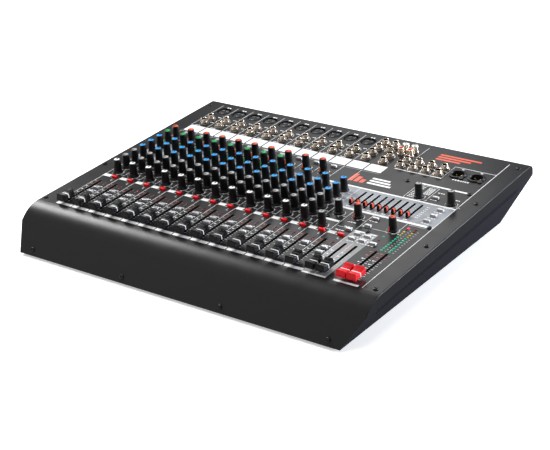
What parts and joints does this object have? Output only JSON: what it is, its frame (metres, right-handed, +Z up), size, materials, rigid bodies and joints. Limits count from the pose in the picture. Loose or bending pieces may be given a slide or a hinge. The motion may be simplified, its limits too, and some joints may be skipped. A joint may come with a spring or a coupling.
{
  "type": "mixing console",
  "caption": "Desktop analogue mixing console: sloping steel case with faders, rotary controls, push buttons, graphic equaliser, level meters and input and output sockets.",
  "frame": {"origin": "on the desk under the middle of the console's bounding box", "axes": "+X to the operator's right, +Y to the rear, +Z up; the control panel slopes up to the rear by 2.8 degrees"},
  "size_m": [0.4804, 0.4088, 0.0767],
  "materials": {
    "case_paint": "matt grey powder coat",
    "bracket_steel": "zinc plated",
    "black_plastic": "moulded black",
    "knob_plastic": "soft black",
    "fader_plastic": "satin black",
    "main_fader_plastic": "satin red",
    "mute_plastic": "satin red",
    "button_plastic": "silvered",
    "light_plastic": "tinted diffused",
    "nickel": "warm nickel plate",
    "black_screw": "black oxide",
    "brass_spacer": "turned",
    "board_green": "solder mask",
    "rubber": "matt",
    "transformer_steel": "varnished laminations",
    "ribbon": "grey ribbon"
  },
  "bodies": {
    "console": {"top_cover": "case_paint", "base_pan": "case_paint", "side_brackets": "bracket_steel", "rear_vent_plate": "bracket_steel", "control_board": "board_green", "connector_board": "board_green", "standoffs": "brass_spacer", "pot_bodies": "black_plastic", "channel_knobs": "knob_plastic", "slide_control_bodies": "black_plastic", "switch_bodies": "black_plastic", "panel_lights": "light_plastic", "xlr_inputs": "black_plastic", "xlr_outputs": "black_plastic", "jack_sockets": "nickel", "jack_nuts": "nickel", "phono_sockets": "nickel", "case_screws": "black_screw", "rubber_feet": "rubber", "power_entry": "black_plastic", "transformer": "transformer_steel", "power_board": "board_green", "ribbon_cables": "ribbon"},
    "channel_fader_01": {"channel_fader_01": "fader_plastic"},
    "channel_fader_02": {"channel_fader_02": "fader_plastic"},
    "channel_fader_03": {"channel_fader_03": "fader_plastic"},
    "channel_fader_04": {"channel_fader_04": "fader_plastic"},
    "channel_fader_05": {"channel_fader_05": "fader_plastic"},
    "channel_fader_06": {"channel_fader_06": "fader_plastic"},
    "channel_fader_07": {"channel_fader_07": "fader_plastic"},
    "channel_fader_08": {"channel_fader_08": "fader_plastic"},
    "channel_fader_09": {"channel_fader_09": "fader_plastic"},
    "channel_fader_10": {"channel_fader_10": "fader_plastic"},
    "channel_fader_11": {"channel_fader_11": "fader_plastic"},
    "channel_fader_12": {"channel_fader_12": "fader_plastic"},
    "channel_fader_13": {"channel_fader_13": "fader_plastic"},
    "channel_fader_14": {"channel_fader_14": "fader_plastic"},
    "group_fader_left": {"group_fader_left": "fader_plastic"},
    "group_fader_right": {"group_fader_right": "fader_plastic"},
    "main_fader_left": {"main_fader_left": "main_fader_plastic"},
    "main_fader_right": {"main_fader_right": "main_fader_plastic"},
    "equaliser_sliders": {"equaliser_sliders": "black_plastic"},
    "mute_buttons": {"mute_buttons": "mute_plastic"},
    "channel_buttons": {"channel_buttons": "button_plastic"},
    "master_buttons": {"master_buttons": "button_plastic"},
    "channel_1_gain_knob": {"channel_1_gain_knob": "knob_plastic"},
    "channel_1_compressor_knob": {"channel_1_compressor_knob": "knob_plastic"},
    "channel_1_treble_knob": {"channel_1_treble_knob": "knob_plastic"},
    "channel_1_middle_knob": {"channel_1_middle_knob": "knob_plastic"},
    "channel_1_bass_knob": {"channel_1_bass_knob": "knob_plastic"},
    "channel_1_monitor_send_knob": {"channel_1_monitor_send_knob": "knob_plastic"},
    "channel_1_effect_send_knob": {"channel_1_effect_send_knob": "knob_plastic"},
    "channel_1_pan_knob": {"channel_1_pan_knob": "knob_plastic"},
    "effect_select_knob": {"effect_select_knob": "knob_plastic"},
    "effect_level_knob": {"effect_level_knob": "knob_plastic"},
    "aux_return_knob": {"aux_return_knob": "knob_plastic"},
    "stereo_return_knob": {"stereo_return_knob": "knob_plastic"},
    "phones_knob": {"phones_knob": "knob_plastic"},
    "monitor_knob": {"monitor_knob": "knob_plastic"},
    "power_rocker": {"power_rocker": "black_plastic"}
  },
  "joints": [
    {"name": "channel_1_gain_knob_turn", "type": "hinge", "parent": "console", "child": "channel_1_gain_knob", "pos_m": [-0.20244, 0.0705, 0.05834], "axis": [0, -0.0488, 0.9988], "range_deg": [-300, 0]},
    {"name": "channel_1_compressor_knob_turn", "type": "hinge", "parent": "console", "child": "channel_1_compressor_knob", "pos_m": [-0.20244, 0.05389, 0.05753], "axis": [0, -0.0488, 0.9988], "range_deg": [-300, 0]},
    {"name": "channel_1_treble_knob_turn", "type": "hinge", "parent": "console", "child": "channel_1_treble_knob", "pos_m": [-0.20244, 0.03727, 0.05671], "axis": [0, -0.0488, 0.9988], "range_deg": [-150, 150]},
    {"name": "channel_1_middle_knob_turn", "type": "hinge", "parent": "console", "child": "channel_1_middle_knob", "pos_m": [-0.20244, 0.02065, 0.0559], "axis": [0, -0.0488, 0.9988], "range_deg": [-150, 150]},
    {"name": "channel_1_bass_knob_turn", "type": "hinge", "parent": "console", "child": "channel_1_bass_knob", "pos_m": [-0.20244, 0.00404, 0.05509], "axis": [0, -0.0488, 0.9988], "range_deg": [-150, 150]},
    {"name": "channel_1_monitor_send_knob_turn", "type": "hinge", "parent": "console", "child": "channel_1_monitor_send_knob", "pos_m": [-0.20244, -0.01258, 0.05428], "axis": [0, -0.0488, 0.9988], "range_deg": [-300, 0]},
    {"name": "channel_1_effect_send_knob_turn", "type": "hinge", "parent": "console", "child": "channel_1_effect_send_knob", "pos_m": [-0.20244, -0.0292, 0.05346], "axis": [0, -0.0488, 0.9988], "range_deg": [-300, 0]},
    {"name": "channel_1_pan_knob_turn", "type": "hinge", "parent": "console", "child": "channel_1_pan_knob", "pos_m": [-0.20244, -0.04582, 0.05265], "axis": [0, -0.0488, 0.9988], "range_deg": [-150, 150]},
    {"name": "effect_select_knob_turn", "type": "hinge", "parent": "console", "child": "effect_select_knob", "pos_m": [0.16307, 0.06239, 0.05794], "axis": [0, -0.0488, 0.9988], "range_deg": [-300, 0]},
    {"name": "effect_level_knob_turn", "type": "hinge", "parent": "console", "child": "effect_level_knob", "pos_m": [0.20625, 0.06112, 0.05788], "axis": [0, -0.0488, 0.9988], "range_deg": [-300, 0]},
    {"name": "aux_return_knob_turn", "type": "hinge", "parent": "console", "child": "aux_return_knob", "pos_m": [0.10338, -0.01525, 0.05414], "axis": [0, -0.0488, 0.9988], "range_deg": [-300, 0]},
    {"name": "stereo_return_knob_turn", "type": "hinge", "parent": "console", "child": "stereo_return_knob", "pos_m": [0.10262, -0.04924, 0.05248], "axis": [0, -0.0488, 0.9988], "range_deg": [-300, 0]},
    {"name": "phones_knob_turn", "type": "hinge", "parent": "console", "child": "phones_knob", "pos_m": [0.12827, -0.01423, 0.0542], "axis": [0, -0.0488, 0.9988], "range_deg": [-300, 0]},
    {"name": "monitor_knob_turn", "type": "hinge", "parent": "console", "child": "monitor_knob", "pos_m": [0.18009, -0.02514, 0.05366], "axis": [0, -0.0488, 0.9988], "range_deg": [-300, 0]},
    {"name": "power_rocker_tilt", "type": "hinge", "parent": "console", "child": "power_rocker", "pos_m": [0.1355, 0.16452, 0.01651], "axis": [-1, 0, 0], "range_deg": [-16, 0]},
    {"name": "mute_button_press", "type": "slide", "parent": "console", "child": "mute_buttons", "axis": [0, 0.0488, -0.9988], "range_m": [0, 0.0012], "stiffness_N_per_m": 600, "springref_m": -0.0006},
    {"name": "channel_button_press", "type": "slide", "parent": "console", "child": "channel_buttons", "axis": [0, 0.0488, -0.9988], "range_m": [0, 0.0012], "stiffness_N_per_m": 600, "springref_m": -0.0006},
    {"name": "master_button_press", "type": "slide", "parent": "console", "child": "master_buttons", "axis": [0, 0.0488, -0.9988], "range_m": [0, 0.0012], "stiffness_N_per_m": 600, "springref_m": -0.0006},
    {"name": "equaliser_slide", "type": "slide", "parent": "console", "child": "equaliser_sliders", "axis": [0, 0.9988, 0.0488], "range_m": [0, 0.03]},
    {"name": "channel_fader_01_slide", "type": "slide", "parent": "console", "child": "channel_fader_01", "axis": [0, 0.9988, 0.0488], "range_m": [0, 0.06]},
    {"name": "channel_fader_02_slide", "type": "slide", "parent": "console", "child": "channel_fader_02", "axis": [0, 0.9988, 0.0488], "range_m": [0, 0.06]},
    {"name": "channel_fader_03_slide", "type": "slide", "parent": "console", "child": "channel_fader_03", "axis": [0, 0.9988, 0.0488], "range_m": [0, 0.06]},
    {"name": "channel_fader_04_slide", "type": "slide", "parent": "console", "child": "channel_fader_04", "axis": [0, 0.9988, 0.0488], "range_m": [0, 0.06]},
    {"name": "channel_fader_05_slide", "type": "slide", "parent": "console", "child": "channel_fader_05", "axis": [0, 0.9988, 0.0488], "range_m": [0, 0.06]},
    {"name": "channel_fader_06_slide", "type": "slide", "parent": "console", "child": "channel_fader_06", "axis": [0, 0.9988, 0.0488], "range_m": [0, 0.06]},
    {"name": "channel_fader_07_slide", "type": "slide", "parent": "console", "child": "channel_fader_07", "axis": [0, 0.9988, 0.0488], "range_m": [0, 0.06]},
    {"name": "channel_fader_08_slide", "type": "slide", "parent": "console", "child": "channel_fader_08", "axis": [0, 0.9988, 0.0488], "range_m": [0, 0.06]},
    {"name": "channel_fader_09_slide", "type": "slide", "parent": "console", "child": "channel_fader_09", "axis": [0, 0.9988, 0.0488], "range_m": [0, 0.06]},
    {"name": "channel_fader_10_slide", "type": "slide", "parent": "console", "child": "channel_fader_10", "axis": [0, 0.9988, 0.0488], "range_m": [0, 0.06]},
    {"name": "channel_fader_11_slide", "type": "slide", "parent": "console", "child": "channel_fader_11", "axis": [0, 0.9988, 0.0488], "range_m": [0, 0.06]},
    {"name": "channel_fader_12_slide", "type": "slide", "parent": "console", "child": "channel_fader_12", "axis": [0, 0.9988, 0.0488], "range_m": [0, 0.06]},
    {"name": "channel_fader_13_slide", "type": "slide", "parent": "console", "child": "channel_fader_13", "axis": [0, 0.9988, 0.0488], "range_m": [0, 0.06]},
    {"name": "channel_fader_14_slide", "type": "slide", "parent": "console", "child": "channel_fader_14", "axis": [0, 0.9988, 0.0488], "range_m": [0, 0.06]},
    {"name": "group_fader_left_slide", "type": "slide", "parent": "console", "child": "group_fader_left", "axis": [0, 0.9988, 0.0488], "range_m": [0, 0.06]},
    {"name": "group_fader_right_slide", "type": "slide", "parent": "console", "child": "group_fader_right", "axis": [0, 0.9988, 0.0488], "range_m": [0, 0.06]},
    {"name": "main_fader_left_slide", "type": "slide", "parent": "console", "child": "main_fader_left", "axis": [0, 0.9988, 0.0488], "range_m": [0, 0.06]},
    {"name": "main_fader_right_slide", "type": "slide", "parent": "console", "child": "main_fader_right", "axis": [0, 0.9988, 0.0488], "range_m": [0, 0.06]}
  ]
}
